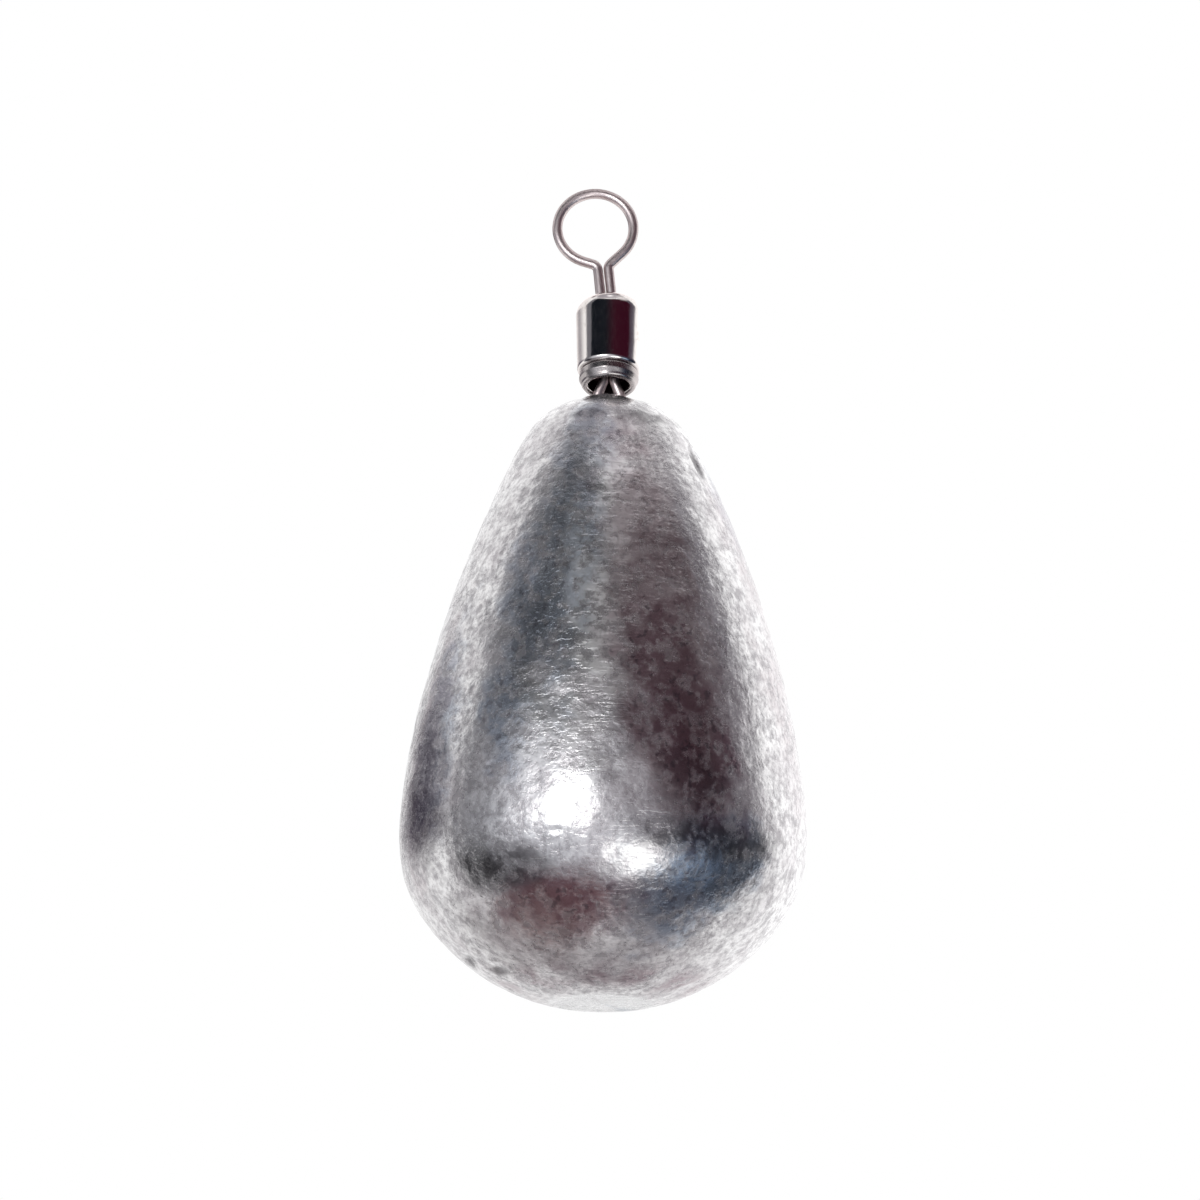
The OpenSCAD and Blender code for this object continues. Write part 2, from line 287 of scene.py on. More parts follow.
def even(points, spacing, soften=0.0, closed=False):
    """A polyline with its points that far apart, its corners softened by about that much."""
    if closed:
        points = np.vstack([points, points[:1]])
    walk = np.r_[0, np.cumsum(np.linalg.norm(np.diff(points, axis=0), axis=1))]
    fine = np.arange(0, walk[-1], FINE_STEP)
    dense = np.c_[np.interp(fine, walk, points[:, 0]), np.interp(fine, walk, points[:, 1])]
    if soften:
        reach = int(3 * soften / FINE_STEP)
        kernel = np.exp(-0.5 * (np.arange(-reach, reach + 1) * FINE_STEP / soften) ** 2)
        kernel /= kernel.sum()
        if closed:
            padded = np.vstack([dense[-reach:], dense, dense[:reach]])
        else:
            padded = np.vstack([2 * dense[0] - dense[reach:0:-1], dense,
                                2 * dense[-1] - dense[-2:-reach - 2:-1]])
        dense = np.c_[np.convolve(padded[:, 0], kernel, "valid"),
                      np.convolve(padded[:, 1], kernel, "valid")]
    count = max(4, round(walk[-1] / spacing))
    take = np.linspace(0, len(dense) - (0 if closed else 1), count + (0 if closed else 1),
                       endpoint=not closed).astype(int)
    return dense[np.minimum(take, len(dense) - 1)]


def turned(profile, ring):
    """Points of an outline in (r, z) turned about the upright axis, ring of them to each."""
    turn = 2 * math.pi * np.arange(ring) / ring
    r, z = profile.T
    return np.c_[np.outer(r, np.sin(turn)).ravel(), -np.outer(r, np.cos(turn)).ravel(),
                 np.repeat(z, ring)]


def make_object(name, verts, faces, rotation=None, offset=None):
    """A smooth-shaded mesh object from points in millimetres."""
    if rotation is not None:
        verts = verts @ rotation.T + offset
    mesh = bpy.data.meshes.new(name)
    mesh.from_pydata((verts * MM).tolist(), [], faces)
    mesh.validate()
    mesh.polygons.foreach_set("use_smooth", np.ones(len(mesh.polygons), bool))
    obj = bpy.data.objects.new(name, mesh)
    bpy.context.scene.collection.objects.link(obj)
    return obj


def grid_faces(rows, columns, wrap_rows=False):
    """Quads of a grid whose columns wrap round, and whose rows may."""
    faces = []
    for i in range(rows if wrap_rows else rows - 1):
        a, b = i * columns, (i + 1) % rows * columns
        for j in range(columns):
            k = (j + 1) % columns
            faces.append((a + j, a + k, b + k, b + j))
    return faces


def weld(obj, distance):
    """Joins points closer than that many metres and turns all faces outwards."""
    mesh = bmesh.new()
    mesh.from_mesh(obj.data)
    bmesh.ops.remove_doubles(mesh, verts=mesh.verts, dist=distance)
    bmesh.ops.recalc_face_normals(mesh, faces=mesh.faces)
    mesh.to_mesh(obj.data)
    mesh.free()
    obj.data.polygons.foreach_set("use_smooth", np.ones(len(obj.data.polygons), bool))


def pear_profile():
    """The lead's outline from the middle of its flat to the top of the dome, as (r, z)."""
    gate_edge, land_edge = np.array([GATE_R, 0]), np.array([LAND_R, LEAD_H])
    lower = np.array([LEAD_R - LOWER_BELLY_R, BELLY_H])
    upper = np.array([LEAD_R - UPPER_BELLY_R, BELLY_H])
    shoulder = np.array([LAND_R, LEAD_H - SHOULDER_R])
    bottom = meet(gate_edge, BOTTOM_R, lower, BOTTOM_R - LOWER_BELLY_R)
    flank = meet(upper, FLANK_R - UPPER_BELLY_R, shoulder, FLANK_R - SHOULDER_R)
    bottom_end, belly_end = on_ray(bottom, BOTTOM_R, lower), np.array([LEAD_R, BELLY_H])
    flank_start, flank_end = on_ray(flank, FLANK_R, upper), on_ray(flank, FLANK_R, shoulder)
    dome_r = (BOSS_R ** 2 + BOSS_H ** 2) / (2 * BOSS_H)
    dome = np.array([0, LEAD_H + BOSS_H - dome_r])
    top = arc(shoulder, SHOULDER_R, flank_end, land_edge)
    under_dome = np.hypot(*(top - dome).T) < dome_r
    crossing = top[np.argmax(under_dome)]
    parts = [
        line([0, 0], gate_edge),
        arc(bottom, BOTTOM_R, gate_edge, bottom_end),
        arc(lower, LOWER_BELLY_R, bottom_end, belly_end),
        arc(upper, UPPER_BELLY_R, belly_end, flank_start),
        arc(flank, FLANK_R, flank_start, flank_end),
        top[~under_dome],
        arc(dome, dome_r, crossing, dome + [0, dome_r]),
    ]
    return np.vstack([p[1:] for p in parts])


def azimuth(points):
    """Degrees round the lead: 0 towards the photograph's camera, positive to the right."""
    return np.degrees(np.arctan2(points[:, 0], -points[:, 1]))


def patch(points, az, z, az_half, z_half, slope, seed):
    """1 in the middle of a soft patch on the lead, 0 outside. slope leans it, in degrees per mm."""
    dz = points[:, 2] - z
    da = (azimuth(points) - az - slope * dz + 180) % 360 - 180
    far = np.hypot(da / az_half, dz / z_half)
    far += PATCH_WOBBLE * (waves(points, 3.0, seed) + 0.6 * waves(points, 1.1, seed + 50))
    return smooth(1.6 - far)


def pit(points, az, z, wide, tall, depth, rim):
    """How far a small dent with a raised rim moves points outwards."""
    r = np.hypot(points[:, 0], points[:, 1])
    da = np.radians((azimuth(points) - az + 180) % 360 - 180) * r
    far = np.hypot(da / wide, (points[:, 2] - z) / tall)
    return -depth * np.exp(-far ** 2) + rim * np.exp(-((far - 1.5) / 0.45) ** 2)


def lead_relief(points):
    """How far each point of the plain turned lead moves outwards: unevenness, dents, the
    mould seam, the rough dome, a collar of lead round each leg, and the scored flat."""
    up, rad = points[:, 2], np.hypot(points[:, 0], points[:, 1])
    free = smooth(up / 0.5) * smooth(rad / 1.2)
    move = free * sum(height * waves(points, length, seed) for height, length, seed in LEAD_WAVES)
    for dent in DENTS:
        move += free * pit(points, *dent)
    seam_far = np.radians((azimuth(points) - SEAM_AZ + 90) % 180 - 90) * rad
    ragged = 0.6 + 0.4 * waves(points, 1.6, 9)
    move += free * SEAM_H * ragged * np.exp(-(seam_far / SEAM_W) ** 2)
    top = smooth((up - DOME_Z) / 0.5)
    move += top * DOME_ROUGHNESS * waves(points, 0.9, 12) * smooth(rad / 0.5)
    for side in (-1, 1):
        leg_far = np.hypot(points[:, 0] - side * LEG_X, points[:, 1])
        collar = np.exp(-((leg_far - WIRE_R) / COLLAR_W) ** 2) * (leg_far < COLLAR_REACH)
        move += top * COLLAR_H * collar
    low = smooth((0.3 - up) / 0.3) * smooth((GATE_R - 0.2 - rad) / 0.3)
    scored = waves(points * [1, SCORE_STRETCH, 1] @ turn_z(SCORE_AZ), SCORE_LENGTH, 21)
    return move - low * SCORE_DEPTH * (1 + scored)


def build_lead():
    profile = even(pear_profile(), LEAD_STEP, soften=0.05)
    profile[:, 0] = np.maximum(profile[:, 0], 0)
    tangent = np.gradient(profile, axis=0)
    tangent /= np.linalg.norm(tangent, axis=1)[:, None]
    out = np.c_[tangent[:, 1], -tangent[:, 0]]
    points, normal = turned(profile[1:-1], LEAD_RING), turned(out[1:-1], LEAD_RING)
    verts = points + normal * lead_relief(points)[:, None]
    verts[:, 2] = np.maximum(verts[:, 2], 0)
    low_pole, high_pole = len(verts), len(verts) + 1
    faces = grid_faces(len(profile) - 2, LEAD_RING)
    for j in range(LEAD_RING):
        k = (j + 1) % LEAD_RING
        faces.append((low_pole, k, j))
        faces.append((high_pole, low_pole - LEAD_RING + j, low_pole - LEAD_RING + k))
    verts = np.vstack([verts, [0, 0, 0], [0, 0, profile[-1, 1]]])
    obj = make_object("lead_casting", verts, faces)
    paint_lead(obj, verts)
    return obj


def paint_lead(obj, verts):
    """Stores on the points how blue, maroon, bright and dark the lead is there: stains that are partly
    painted reflections, painted highlights and painted light, paler patches on the back, and painted
    shade and dark reflections.
    """
    channels = {name: np.zeros(len(verts)) for name in ("blue", "maroon", "bright", "dark")}
    for place, (name, *shape, strength) in enumerate(TARNISH_AND_PAINTED_LIGHT):
        found = strength * patch(verts, *shape, FRONT_SEED + place)
        channels[name] = np.maximum(channels[name], found)
    rng = np.random.default_rng(7)
    for place in range(BACK_PATCHES):
        name = ("blue", "maroon", "bright")[place % 3]
        az, z = rng.uniform(*BACK_AZ), rng.uniform(*BACK_Z)
        strength = rng.uniform(*BACK_STRENGTH)
        shape = [rng.uniform(*span) for span in (BACK_AZ_HALF, BACK_Z_HALF, BACK_SLOPE)]
        found = strength * patch(verts, az, z, *shape, BACK_SEED + place)
        channels[name] = np.maximum(channels[name], found)
    # The trimmed flat gets painted light through the bright channel; just above it a maroon band runs
    # all round, and the bright is taken out of that band.
    rad, up = np.hypot(verts[:, 0], verts[:, 1]), verts[:, 2]
    flat = smooth((GATE_R + 0.4 - rad + 0.4 * waves(verts, 1.3, 60)) / 0.7)
    flat = smooth((0.16 - up) / 0.14) * flat
    ring = np.exp(-((up - 0.75) / 0.55) ** 2) * smooth(0.6 + 0.7 * waves(verts, 1.8, 61))
    channels["bright"] = np.maximum(channels["bright"] * (1 - ring), 0.9 * flat)
    channels["maroon"] = np.maximum(channels["maroon"], 0.6 * ring * (1 - flat))
    layer = obj.data.color_attributes.new("patina_and_painted_light", "FLOAT_COLOR", "POINT")
    colours = np.c_[channels["blue"], channels["maroon"], channels["bright"], channels["dark"]]
    layer.data.foreach_set("color", colours.astype(np.float32).ravel())


def wire_path(leg_l, loop_r, left, right):
    """Centreline of an eye, from tip to tip, in its own plane, as (x, z)."""
    cl, sl = math.cos(math.radians(left)), math.sin(math.radians(left))
    cr, sr = math.cos(math.radians(right)), math.sin(math.radians(right))
    across = loop_r * (cl + cr) - CROTCH_BEND_R * (2 - cl - cr) - 2 * LEG_X
    rise = (loop_r + CROTCH_BEND_R) * (sr - sl)
    both = math.sin(math.radians(left + right))
    left_flank, right_flank = (across * cr + rise * sr) / both, (across * cl - rise * sl) / both
    arm = HEAD_W / 2 - LEG_X - HEAD_BEND_R
    steps = [
        (arm, HEAD_BEND_R, 90), (leg_l - HEAD_BEND_R, CROTCH_BEND_R, left),
        (left_flank, loop_r, -(180 + left + right)), (right_flank, CROTCH_BEND_R, right),
        (leg_l - HEAD_BEND_R, HEAD_BEND_R, 90), (arm, 0, 0),
    ]
    place, heading = np.array([-HEAD_W / 2, 0.0]), 0.0
    points = [place]
    for straight, r, turn in steps:
        ahead = np.array([math.cos(heading), math.sin(heading)])
        points += list(line(place, place + ahead * straight)[1:])
        place = place + ahead * straight
        side = math.copysign(1, turn)
        centre = place + side * r * np.array([-ahead[1], ahead[0]])
        sweep = math.radians(turn)
        for t in np.linspace(0, 1, max(2, int(abs(sweep) * r / STEP)))[1:]:
            a = math.atan2(*(place - centre)[::-1]) + sweep * t
            points.append(centre + r * np.array([math.cos(a), math.sin(a)]))
        place = points[-1]
        heading += sweep
    return np.array(points)


def build_wire(name, shape, rotation, offset, seed):
    path = even(wire_path(**shape), WIRE_STEP)
    rows = len(path)
    ahead = np.gradient(path, axis=0)
    ahead /= np.linalg.norm(ahead, axis=1)[:, None]
    turn = 2 * math.pi * np.arange(WIRE_RING) / WIRE_RING
    side = np.c_[-ahead[:, 1], np.zeros(rows), ahead[:, 0]]
    centre = np.c_[path[:, 0], np.zeros(rows), path[:, 1]]
    spokes = (side[:, None, :] * np.cos(turn)[None, :, None]
              + np.array([0, 1, 0])[None, None, :] * np.sin(turn)[None, :, None])
    plain = (centre[:, None, :] + WIRE_R * spokes).reshape(-1, 3)
    along = np.repeat(np.arange(rows) * WIRE_STEP, WIRE_RING)
    swell = WIRE_SWELL * np.sin(along * 1.7 + seed) + WIRE_WAVE * waves(plain, 0.8, seed)
    verts = (np.repeat(centre, WIRE_RING, axis=0)
             + (WIRE_R + swell - WIRE_SWELL)[:, None] * spokes.reshape(-1, 3))
    faces = grid_faces(rows, WIRE_RING)
    tips = []
    for row, sign in ((0, -1), (rows - 1, 1)):
        for share, out in WIRE_TIP:
            middle = centre[row] + sign * out * np.r_[ahead[row, 0], 0, ahead[row, 1]]
            tips.append(middle + share * WIRE_R * spokes[row])
    for end, row in ((0, 0), (1, rows - 1)):
        last = row * WIRE_RING
        for k in range(len(WIRE_TIP)):
            here = (rows + end * len(WIRE_TIP) + k) * WIRE_RING
            for j in range(WIRE_RING):
                n = (j + 1) % WIRE_RING
                quad = (last + j, last + n, here + n, here + j)
                faces.append(quad if end else quad[::-1])
            last = here
    obj = make_object(name, np.vstack([verts] + tips), faces, rotation, offset)
    weld(obj, 1e-7)
    return obj


def barrel_profile():
    """The barrel's wall as a closed loop, (r, z), from the lower mouth out, up, in and down."""
    e, top = LIP_EDGE_R, BARREL_L
    edge_x, foot_r = MOUTH_R + e, FOOT_R - CREASE_R
    crown_x, cavity_r = BARREL_R - CROWN_R, FOOT_R - BARREL_WALL
    foot = np.array([CREASE_R, LIP_H + foot_r])
    crown = np.array([crown_x, top - math.sqrt(CROWN_R ** 2 - (edge_x - crown_x) ** 2)])
    lip_low, lip_high = [LIP_R, LIP_H / 2], [LIP_R, LIP_H - LIP_R + CREASE_R]
    a = np.linspace(math.pi, 2 * math.pi, 40)
    return np.vstack([
        np.c_[edge_x + e * np.cos(a), e + e * np.sin(a)],
        line([edge_x + e, e], lip_low)[1:],
        line(lip_low, lip_high)[1:],
        line(lip_high, [CREASE_R - 0.03, LIP_H])[1:],
        arc(foot, foot_r, foot + [0, -foot_r], foot + [foot_r, 0]),
        line([FOOT_R, foot[1]], [BARREL_R, crown[1]])[1:],
        arc(crown, CROWN_R, [BARREL_R, crown[1]], [edge_x, top])[1:],
        arc(np.array([edge_x, top - e]), e, [edge_x, top], [MOUTH_R, top - e])[1:],
        line([MOUTH_R, top - e], [MOUTH_R, top - CROWN_THROAT_L])[1:],
        line([MOUTH_R, top - CROWN_THROAT_L], [cavity_r, top - CROWN_THROAT_L - SEAT_H])[1:],
        line([cavity_r, top - CROWN_THROAT_L - SEAT_H], [cavity_r, THROAT_L + SEAT_H])[1:],
        line([cavity_r, THROAT_L + SEAT_H], [MOUTH_R, THROAT_L])[1:],
        line([MOUTH_R, THROAT_L], [MOUTH_R, e])[1:-1],
    ])


def painted_shade_mark(rad, up):
    """How much painted shade darkens and dulls the barrel at that radius and height: 1 deep inside,
    less in the crease above the lip and on the lip itself, 0 on the bright outside."""
    throat = smooth((MOUTH_R + 0.06 - rad) / 0.06)
    cavity = smooth((FOOT_R - BARREL_WALL + 0.06 - rad) / 0.06) * smooth((up - 0.5) / 0.2)
    deep = smooth((up - 0.15) / 0.15) * smooth((BARREL_L - 0.1 - up) / 0.15)
    crease = np.exp(-((rad - CREASE_R) / 0.06) ** 2 - ((up - LIP_H) / 0.07) ** 2)
    lip = smooth((LIP_H - 0.02 - up) / 0.1) * smooth((rad - 1.2) / 0.1)
    return np.maximum(np.maximum(throat, cavity) * deep, np.maximum(0.85 * crease, 0.45 * lip))


def build_barrel():
    profile = even(barrel_profile(), BARREL_STEP, soften=0.016, closed=True)
    verts = turned(profile, BARREL_RING)
    rad = np.hypot(verts[:, 0], verts[:, 1])
    lip = smooth((LIP_H + 0.15 - verts[:, 2]) / 0.3)
    outside = smooth((rad - MOUTH_R - 0.05) / 0.1)
    move = 0.006 * waves(verts, 2.0, 31) + lip * 0.012 * waves(verts, 0.9, 32)
    verts[:, :2] *= (1 + move * outside / rad)[:, None]
    verts[:, 2] += lip * 0.02 * waves(verts, 1.6, 33) * outside
    faces = grid_faces(len(profile), BARREL_RING, wrap_rows=True)
    offset = PIVOT - IN_BARREL @ [0, 0, ANCHOR_DEPTH]
    obj = make_object("barrel_shell", verts, faces, IN_BARREL, offset)
    # The painted shade, kept on the points under the name inside
    layer = obj.data.attributes.new("inside", "FLOAT", "POINT")
    layer.data.foreach_set("value", painted_shade_mark(rad, verts[:, 2]).astype(np.float32))
    weld(obj, 1e-8)
    return obj


def add(tree, kind, inputs=None, **settings):
    """A shader node. An input's value is a number, a colour, or another node's output."""
    node = tree.nodes.new("ShaderNode" + kind)
    for name, value in settings.items():
        setattr(node, name, value)
    for name, value in (inputs or {}).items():
        if isinstance(value, bpy.types.NodeSocket):
            tree.links.new(value, node.inputs[name])
        else:
            node.inputs[name].default_value = value
    return node


def maths(tree, operation, a, b=0.0):
    return add(tree, "Math", {0: a, 1: b}, operation=operation).outputs[0]


def product(tree, *values):
    found = values[0]
    for value in values[1:]:
        found = maths(tree, "MULTIPLY", found, value)
    return found


def ramp(tree, value, low, high, to_low=0.0, to_high=1.0, kind="SMOOTHSTEP"):
    names = {"Value": value, "From Min": low, "From Max": high, "To Min": to_low, "To Max": to_high}
    return add(tree, "MapRange", names, interpolation_type=kind).outputs[0]


def rgba(colour):
    return colour if isinstance(colour, bpy.types.NodeSocket) else (*colour, 1.0)


def tint(tree, factor, a, b):
    """b over a by factor. Colours are (r, g, b) or sockets."""
    return add(tree, "Mix", {0: factor, 6: rgba(a), 7: rgba(b)}, data_type="RGBA").outputs[2]


def noise(tree, vector, scale, detail, rough, distortion=0.0):
    return add(tree, "TexNoise", {"Vector": vector, "Scale": scale, "Detail": detail,
                                  "Roughness": rough, "Distortion": distortion}).outputs["Fac"]


def speckle(tree, coarse, fine):
    """Three parts of a coarse noise and two of a fine one."""
    return maths(tree, "ADD", product(tree, coarse, 0.6), product(tree, fine, 0.4))


def bump(tree, height, distance, strength, normal=None):
    names = {"Height": height, "Distance": distance * MM, "Strength": strength}
    if normal is not None:
        names["Normal"] = normal
    return add(tree, "Bump", names).outputs[0]


def bare_material(name):
    material = bpy.data.materials.new(name)
    material.use_nodes = True
    material.node_tree.nodes.clear()
    return material, material.node_tree


def piece_material(name):
    """An empty material with millimetre coordinates that stay with the piece."""
    material, tree = bare_material(name)
    place = add(tree, "TexCoord").outputs["Object"]
    mm = add(tree, "VectorMath", {0: place, "Scale": 1 / MM}, operation="SCALE").outputs[0]
    return material, tree, mm


def finish_material(tree, **inputs):
    names = {k.replace("_", " "): v for k, v in inputs.items()}
    surface = add(tree, "BsdfPrincipled", names)
    add(tree, "OutputMaterial", {"Surface": surface.outputs[0]})


def lead_material():
    """Cast lead: grain, haze and fine scratches, with the stains, painted reflections, painted
    highlights and painted shade stored on its points.
    """
    material, tree, mm = piece_material("cast_lead")
    patina_and_painted_light = add(tree, "Attribute", attribute_name="patina_and_painted_light", attribute_type="GEOMETRY")
    blue, maroon, bright = add(tree, "SeparateColor", {0: patina_and_painted_light.outputs["Color"]}).outputs
    dark = patina_and_painted_light.outputs["Alpha"]
    grain = noise(tree, mm, *GRAIN)
    fine = noise(tree, mm, *FINE_GRAIN)
    broad = noise(tree, mm, *BROAD_HAZE)
    specks = ramp(tree, noise(tree, mm, *SPECKS), 0.58, 0.7)
    speckled = speckle(tree, grain, fine)
    edge = ramp(tree, grain, 0.38, 0.56, 0.25, 1.0)
    # The bright channel: painted highlights and painted light on the front and on the flat, and paler
    # patches on the back
    rub_and_highlight = product(tree, bright, edge)
    stain_and_reflection = maths(tree, "MAXIMUM", blue, maroon)
    speck_share = product(tree, specks, maths(tree, "ADD", 0.08, product(tree, stain_and_reflection, 0.75)))
    colour = tint(tree, ramp(tree, speckled, 0.36, 0.62), LEAD_DULL, LEAD_PALE)
    colour = tint(tree, ramp(tree, broad, 0.42, 0.66, 0.0, 0.3), colour, LEAD_HAZE)
    colour = tint(tree, rub_and_highlight, colour, LEAD_RUBBED_AND_HIGHLIGHT)
    # Blue and maroon stains, partly painted reflections, then specks, then black for painted shade and
    # dark painted reflections
    colour = tint(tree, product(tree, blue, edge), colour, LEAD_BLUE)
    colour = tint(tree, product(tree, maroon, edge), colour, LEAD_MAROON)
    colour = tint(tree, speck_share, colour, LEAD_SPECK)
    colour = tint(tree, product(tree, dark, edge), colour, LEAD_BLACK)
    metallic = maths(tree, "SUBTRACT", ramp(tree, broad, 0.35, 0.65, 0.9, 0.8),
                     product(tree, rub_and_highlight, 0.4))
    rough = maths(tree, "SUBTRACT", ramp(tree, speckled, 0.36, 0.6, 0.3, 0.19),
                  product(tree, bright, 0.06))
    turn = tuple(math.radians(a) for a in SCRATCH_TURN)
    across = add(tree, "Mapping", {"Vector": mm, "Rotation": turn, "Scale": SCRATCH_STRETCH})
    scratches = ramp(tree, noise(tree, across.outputs[0], *SCRATCHES), 0.3, 0.45)
    normal = bump(tree, grain, 0.07, 0.5)
    normal = bump(tree, fine, 0.02, 0.5, normal)
    normal = bump(tree, scratches, 0.01, 0.5, normal)
    finish_material(tree, Base_Color=colour, Metallic=metallic, Roughness=rough, Normal=normal)
    return material


def plated_material(name, colour, cloud_colour, edge_tint, clouds, roughness, streak_scale, painted_shade):
    """Bright nickel over brass, a little clouded, and darkened by painted shade where the piece is
    marked so.
    """
    material, tree, mm = piece_material(name)
    cloud = noise(tree, mm, *CLOUD)
    grit = noise(tree, mm, *GRIT)
    drawn = add(tree, "Mapping", {"Vector": mm, "Scale": streak_scale}).outputs[0]
    streak = noise(tree, drawn, *STREAK)
    share = ramp(tree, speckle(tree, cloud, grit), 0.5, 0.7, 0.0, clouds)
    base = tint(tree, share, colour, cloud_colour)
    rough = maths(tree, "ADD", roughness, ramp(tree, streak, 0.4, 0.7, 0.0, 0.05))
    if painted_shade:
        # Painted shade: darker and rougher where the points are marked
        mark = add(tree, "Attribute", attribute_name="inside", attribute_type="GEOMETRY")
        shade_share = product(tree, mark.outputs["Fac"], painted_shade)
        base = tint(tree, shade_share, base, PAINTED_SHADE_COLOUR)
        rough = maths(tree, "ADD", rough, product(tree, shade_share, 0.35))
    normal = bump(tree, grit, 0.004, 0.3)
    normal = bump(tree, streak, 0.004, 0.4, normal)
    finish_material(tree, Base_Color=base, Metallic=1.0, Roughness=rough, Normal=normal,
                    Specular_Tint=rgba(edge_tint))
    return material


def show(tree, share, surface):
    """Ends a stage material: the surface by share, and clear elsewhere."""
    clear = add(tree, "BsdfTransparent").outputs[0]
    mixed = add(tree, "MixShader", {0: share, 1: clear, 2: surface})
    add(tree, "OutputMaterial", {"Surface": mixed.outputs[0]})


def floor_material():
    """Pale and matt from above, with the object's shadow. From below, where the photograph's
    camera is, it lets the view through."""
    material, tree = bare_material("pale_floor")
    top = add(tree, "BsdfPrincipled", {"Base Color": (0.9, 0.9, 0.9, 1), "Roughness": 0.6,
                                       "Specular IOR Level": 0.0})
    under = add(tree, "NewGeometry").outputs["Backfacing"]
    seen = add(tree, "LightPath").outputs["Is Camera Ray"]
    show(tree, maths(tree, "SUBTRACT", 1.0, product(tree, seen, under)), top.outputs[0])
    return material


def card_material(name, left, right, soft, is_round):
    """A glow that fades out towards the card's edges."""
    material, tree = bare_material(name)
    place = add(tree, "SeparateXYZ", {0: add(tree, "TexCoord").outputs["UV"]}).outputs
    if is_round:
        off = [product(tree, maths(tree, "SUBTRACT", place[k], 0.5), 2.0) for k in (0, 1)]
        square = [product(tree, v, v) for v in off]
        reach = maths(tree, "SQRT", maths(tree, "ADD", square[0], square[1]))
        inside = ramp(tree, reach, 1.0, 1.0 - 2 * soft[0])
    else:
        sides = [ramp(tree, place[k], low, high) for k in (0, 1)
                 for low, high in ((0.0, soft[k]), (1.0, 1.0 - soft[k]))]
        inside = product(tree, product(tree, *sides[:2]), product(tree, *sides[2:]))
    shade = tint(tree, ramp(tree, place[0], 0.35, 0.65), left, right)
    show(tree, inside, add(tree, "Emission", {"Color": shade}).outputs[0])
    return material


def stage_piece(name, points, faces, material):
    """A piece of the studio, which isn't part of the object, from points in millimetres."""
    mesh = bpy.data.meshes.new(name)
    mesh.from_pydata([tuple(np.array(p) * MM) for p in points], [], faces)
    mesh.materials.append(material)
    obj = bpy.data.objects.new(name, mesh)
    bpy.context.scene.collection.objects.link(obj)
    return obj


def toward(az, elevation):
    """Unit vector from the object to the studio: azimuth 0 is towards the photograph's camera."""
    a, e = math.radians(az), math.radians(elevation)
    return np.array([math.sin(a) * math.cos(e), -math.cos(a) * math.cos(e), math.sin(e)])


def card(name, az, elevation, left, right, soft, far, is_round):
    """A curved card round the object that only its gloss sees, with soft edges. Where cards
    overlap, the nearer one covers the farther."""
    points, faces, across = [], [], []
    for i in range(CARD_ROWS + 1):
        for j in range(CARD_COLUMNS + 1):
            s, t = j / CARD_COLUMNS, i / CARD_ROWS
            turn, lift = az[0] + (az[1] - az[0]) * s, elevation[0] + (elevation[1] - elevation[0]) * t
            points.append(np.array(CARD_CENTRE) + far * toward(turn, lift))
            across.append((s, t))
    for i in range(CARD_ROWS):
        for j in range(CARD_COLUMNS):
            a = i * (CARD_COLUMNS + 1) + j
            faces.append((a, a + 1, a + CARD_COLUMNS + 2, a + CARD_COLUMNS + 1))
    obj = stage_piece(name, points, faces, card_material(name, left, right, soft, is_round))
    places = obj.data.uv_layers.new(name="across")
    for loop in obj.data.loops:
        places.data[loop.index].uv = across[loop.vertex_index]
    obj.visible_camera = obj.visible_diffuse = obj.visible_shadow = False
    obj.visible_transmission = False


def aim(obj, target, up_hint=(0, 0, 1)):
    """Turns a camera or lamp towards the target, with the hint upwards in its view."""
    back = (Vector(obj.location) - Vector(tuple(target))).normalized()
    right = Vector(up_hint).cross(back).normalized()
    up = back.cross(right)
    obj.rotation_mode = "QUATERNION"
    obj.rotation_quaternion = Matrix((right, up, back)).transposed().to_quaternion()


def lamp(name, az, elevation, far, size, radiance):
    """A soft area lamp, aimed at the middle of the object."""
    data = bpy.data.lights.new(name, "AREA")
    data.shape = "DISK"
    data.size = size * MM
    data.energy = radiance * math.pi * math.pi * (size * MM / 2) ** 2
    obj = bpy.data.objects.new(name, data)
    bpy.context.scene.collection.objects.link(obj)
    middle = np.array(LAMP_TARGET)
    obj.location = tuple((middle + far * toward(az, elevation)) * MM)
    aim(obj, middle * MM)
    obj.visible_camera = False


def build_floor():
    corners = [(-1, -1), (1, -1), (1, 1), (-1, 1)]
    points = [(x * FLOOR_HALF, y * FLOOR_HALF, FLOOR_Z) for x, y in corners]
    floor = stage_piece("floor", points, [(0, 1, 2, 3)], floor_material())
    floor.visible_glossy = floor.visible_transmission = False


def build_world():
    """White all round for the camera and for gloss, and a softer white as light."""
    world = bpy.data.worlds.new("studio")
    bpy.context.scene.world = world
    world.use_nodes = True
    tree = world.node_tree
    tree.nodes.clear()
    path = add(tree, "LightPath").outputs
    shown = maths(tree, "MAXIMUM", path["Is Camera Ray"],
                  maths(tree, "MAXIMUM", path["Is Glossy Ray"], path["Is Transmission Ray"]))
    strength = ramp(tree, shown, 0.0, 1.0, WORLD_LIGHT, WORLD_SHOWN, "LINEAR")
    back = add(tree, "Background", {"Color": (1, 1, 1, 1), "Strength": strength})
    add(tree, "OutputWorld", {"Surface": back.outputs[0]})


def build_stage():
    build_floor()
    build_world()
    for row in ROOM:
        card(*row)
    for row in LAMPS:
        lamp(*row)


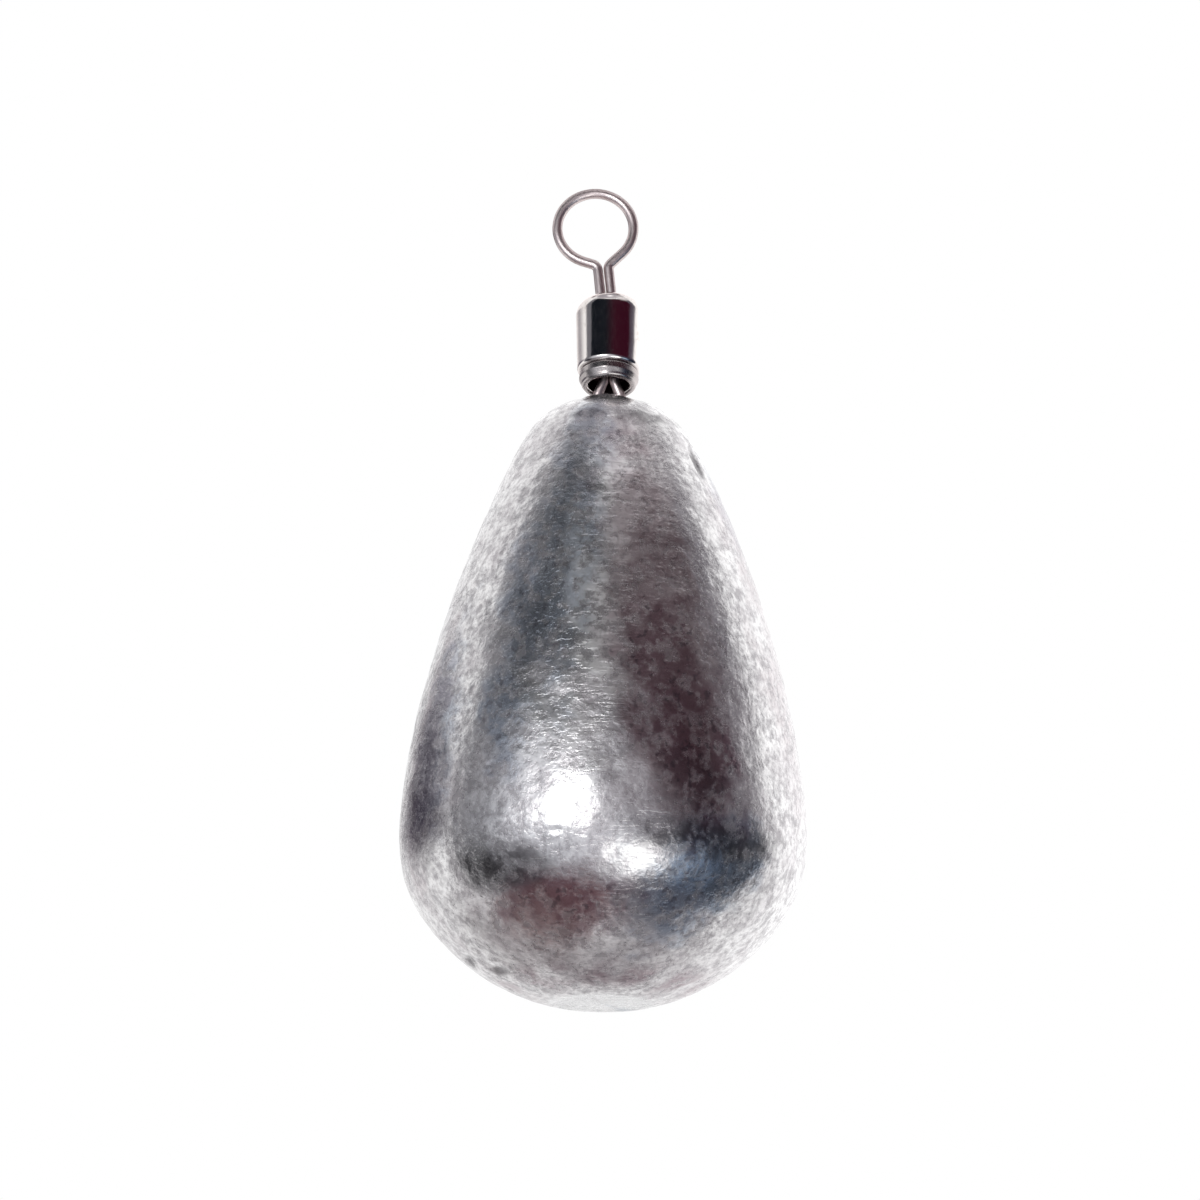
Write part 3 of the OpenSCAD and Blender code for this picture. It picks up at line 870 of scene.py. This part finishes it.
def build_camera():
    """The photograph's camera. It looks up by the angle at which the lead's axis dipped."""
    dip, roll = math.radians(VIEW_DIP), math.radians(VIEW_ROLL)
    ahead = np.array([0, math.cos(dip), math.sin(dip)])
    level, lift = np.array([1.0, 0, 0]), np.array([0, -math.sin(dip), math.cos(dip)])
    up = math.cos(roll) * lift - math.sin(roll) * level
    right = math.cos(roll) * level + math.sin(roll) * lift
    middle = FRAME_PX / 2
    target = ((middle - BASE_PX[0]) * PX * right + (BASE_PX[1] - middle) * PX * up
              + PLANE_BACK * ahead)
    data = bpy.data.cameras.new("photo_view")
    data.sensor_fit = "AUTO"
    data.sensor_width = SENSOR_W
    data.lens = SENSOR_W * CAMERA_FAR / (FRAME_PX * PX)
    data.clip_start, data.clip_end = 0.01, 10
    camera = bpy.data.objects.new("photo_view", data)
    bpy.context.scene.collection.objects.link(camera)
    camera.location = tuple((target - CAMERA_FAR * ahead) * MM)
    aim(camera, target * MM, tuple(up))
    bpy.context.scene.camera = camera
    bpy.context.scene.view_settings.view_transform = "Standard"


def dress():
    """Builds the four pieces over their CAD nodes, each on its body."""
    plated_barrel = plated_material("nickel_barrel", **BARREL_PLATE)
    plated_wire = plated_material("nickel_wire", **WIRE_PLATE)
    eye_turn = IN_BARREL @ turn_x(EYE_FORWARD) @ turn_y(-EYE_SIDE)
    eye_head = PIVOT + IN_BARREL @ [0, 0, BARREL_L - ANCHOR_DEPTH - EYE_DEPTH]
    lead = build_lead()
    anchor = build_wire("anchor_wire", ANCHOR, turn_x(180), PIVOT, 41)
    barrel = build_barrel()
    eye = build_wire("line_wire", EYE, eye_turn, eye_head, 47)
    made = [
        (lead, "sinker", "lead_body", "cast_lead", lead_material()),
        (anchor, "sinker", "anchor_eye", "nickel_wire", plated_wire),
        (barrel, "barrel", "swivel_barrel", "nickel_barrel", plated_barrel),
        (eye, "eye", "line_eye", "nickel_wire", plated_wire),
    ]
    for piece, body, node, slot, material in made:
        piece.data.materials.append(material)
        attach(piece, body)
        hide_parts(node)


dress()
build_stage()
build_camera()
